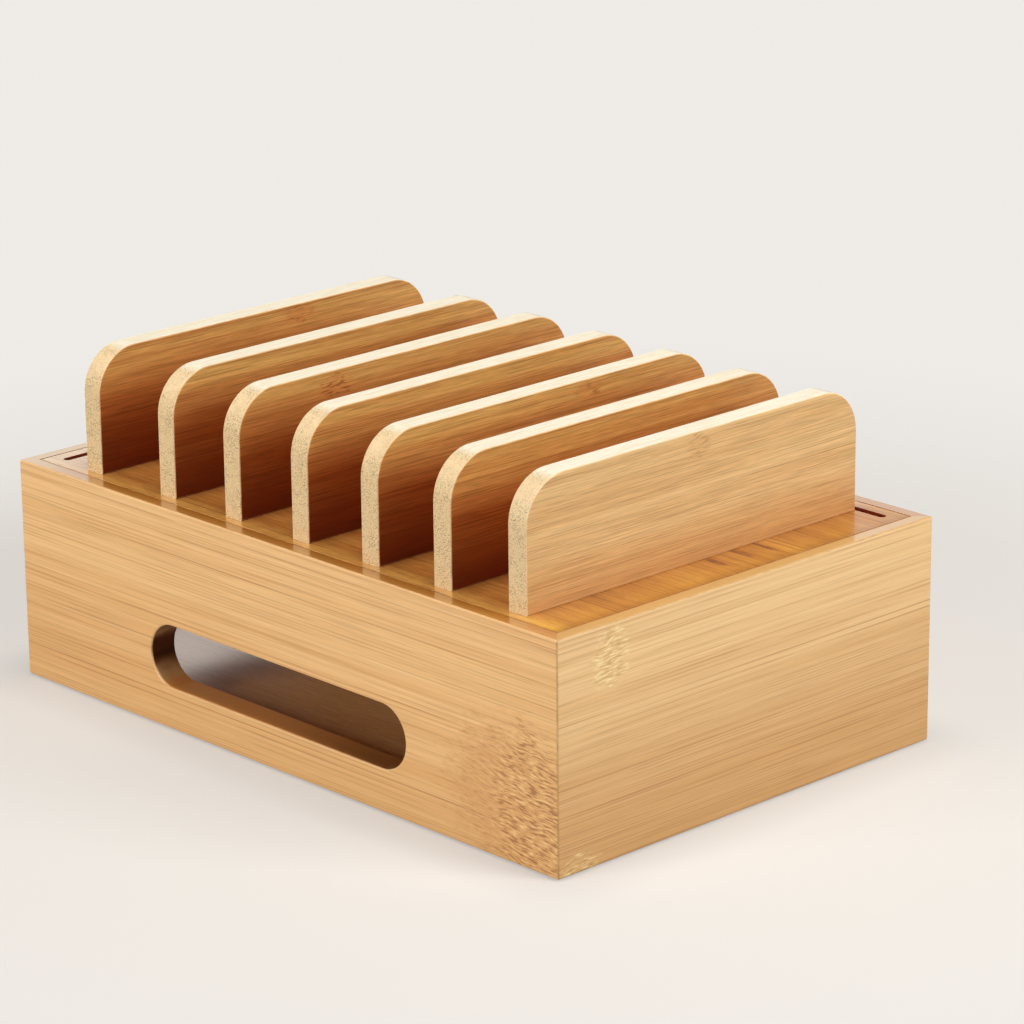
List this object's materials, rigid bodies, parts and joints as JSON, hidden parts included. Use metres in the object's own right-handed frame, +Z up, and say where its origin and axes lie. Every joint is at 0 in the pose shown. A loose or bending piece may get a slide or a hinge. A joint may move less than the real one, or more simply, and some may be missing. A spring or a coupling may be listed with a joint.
{
  "type": "charging station organizer",
  "caption": "Desktop charging organizer: a mitred bamboo box with long round-ended cable holes, a lift-off deck and a row of round-cornered upright dividers.",
  "frame": {"origin": "on the table, under the middle of the box's footprint", "axes": "+X along the dividers, away from the wall with the cable hole; +Y from the front wall to the rear wall, where the widest slot is; +Z up"},
  "size_m": [0.175, 0.27, 0.124],
  "materials": {
    "wall_bamboo": "clear satin lacquer over pale honey bamboo, fine grain along the board",
    "deck_bamboo": "clear gloss lacquer over honey bamboo, grain along the box",
    "divider_bamboo": "clear satin lacquer over honey bamboo, paler on the sawn edges",
    "panel_bamboo": "bare thin bamboo panel, grain along the box",
    "spline_bamboo": "bare bamboo strip",
    "foot_rubber": "matt black"
  },
  "bodies": {
    "box": {"left_wall": "wall_bamboo", "right_wall": "wall_bamboo", "front_wall": "wall_bamboo", "rear_wall": "wall_bamboo", "bottom_panel": "panel_bamboo", "spline_front_left": "spline_bamboo", "spline_front_right": "spline_bamboo", "spline_rear_left": "spline_bamboo", "spline_rear_right": "spline_bamboo", "foot_front_left": "foot_rubber", "foot_front_right": "foot_rubber", "foot_rear_left": "foot_rubber", "foot_rear_right": "foot_rubber"},
    "deck": {"deck": "deck_bamboo"},
    "divider_1": {"divider_1": "divider_bamboo"},
    "divider_2": {"divider_2": "divider_bamboo"},
    "divider_3": {"divider_3": "divider_bamboo"},
    "divider_4": {"divider_4": "divider_bamboo"},
    "divider_5": {"divider_5": "divider_bamboo"},
    "divider_6": {"divider_6": "divider_bamboo"},
    "divider_7": {"divider_7": "divider_bamboo"}
  },
  "joints": [
    {"name": "deck_lift", "type": "slide", "parent": "box", "child": "deck", "axis": [0, 0, 1], "range_m": [0, 0.06]},
    {"name": "divider_1_lift", "type": "slide", "parent": "deck", "child": "divider_1", "axis": [0, 0, 1], "range_m": [0, 0.06]},
    {"name": "divider_2_lift", "type": "slide", "parent": "deck", "child": "divider_2", "axis": [0, 0, 1], "range_m": [0, 0.06]},
    {"name": "divider_3_lift", "type": "slide", "parent": "deck", "child": "divider_3", "axis": [0, 0, 1], "range_m": [0, 0.06]},
    {"name": "divider_4_lift", "type": "slide", "parent": "deck", "child": "divider_4", "axis": [0, 0, 1], "range_m": [0, 0.06]},
    {"name": "divider_5_lift", "type": "slide", "parent": "deck", "child": "divider_5", "axis": [0, 0, 1], "range_m": [0, 0.06]},
    {"name": "divider_6_lift", "type": "slide", "parent": "deck", "child": "divider_6", "axis": [0, 0, 1], "range_m": [0, 0.06]},
    {"name": "divider_7_lift", "type": "slide", "parent": "deck", "child": "divider_7", "axis": [0, 0, 1], "range_m": [0, 0.06]}
  ]
}
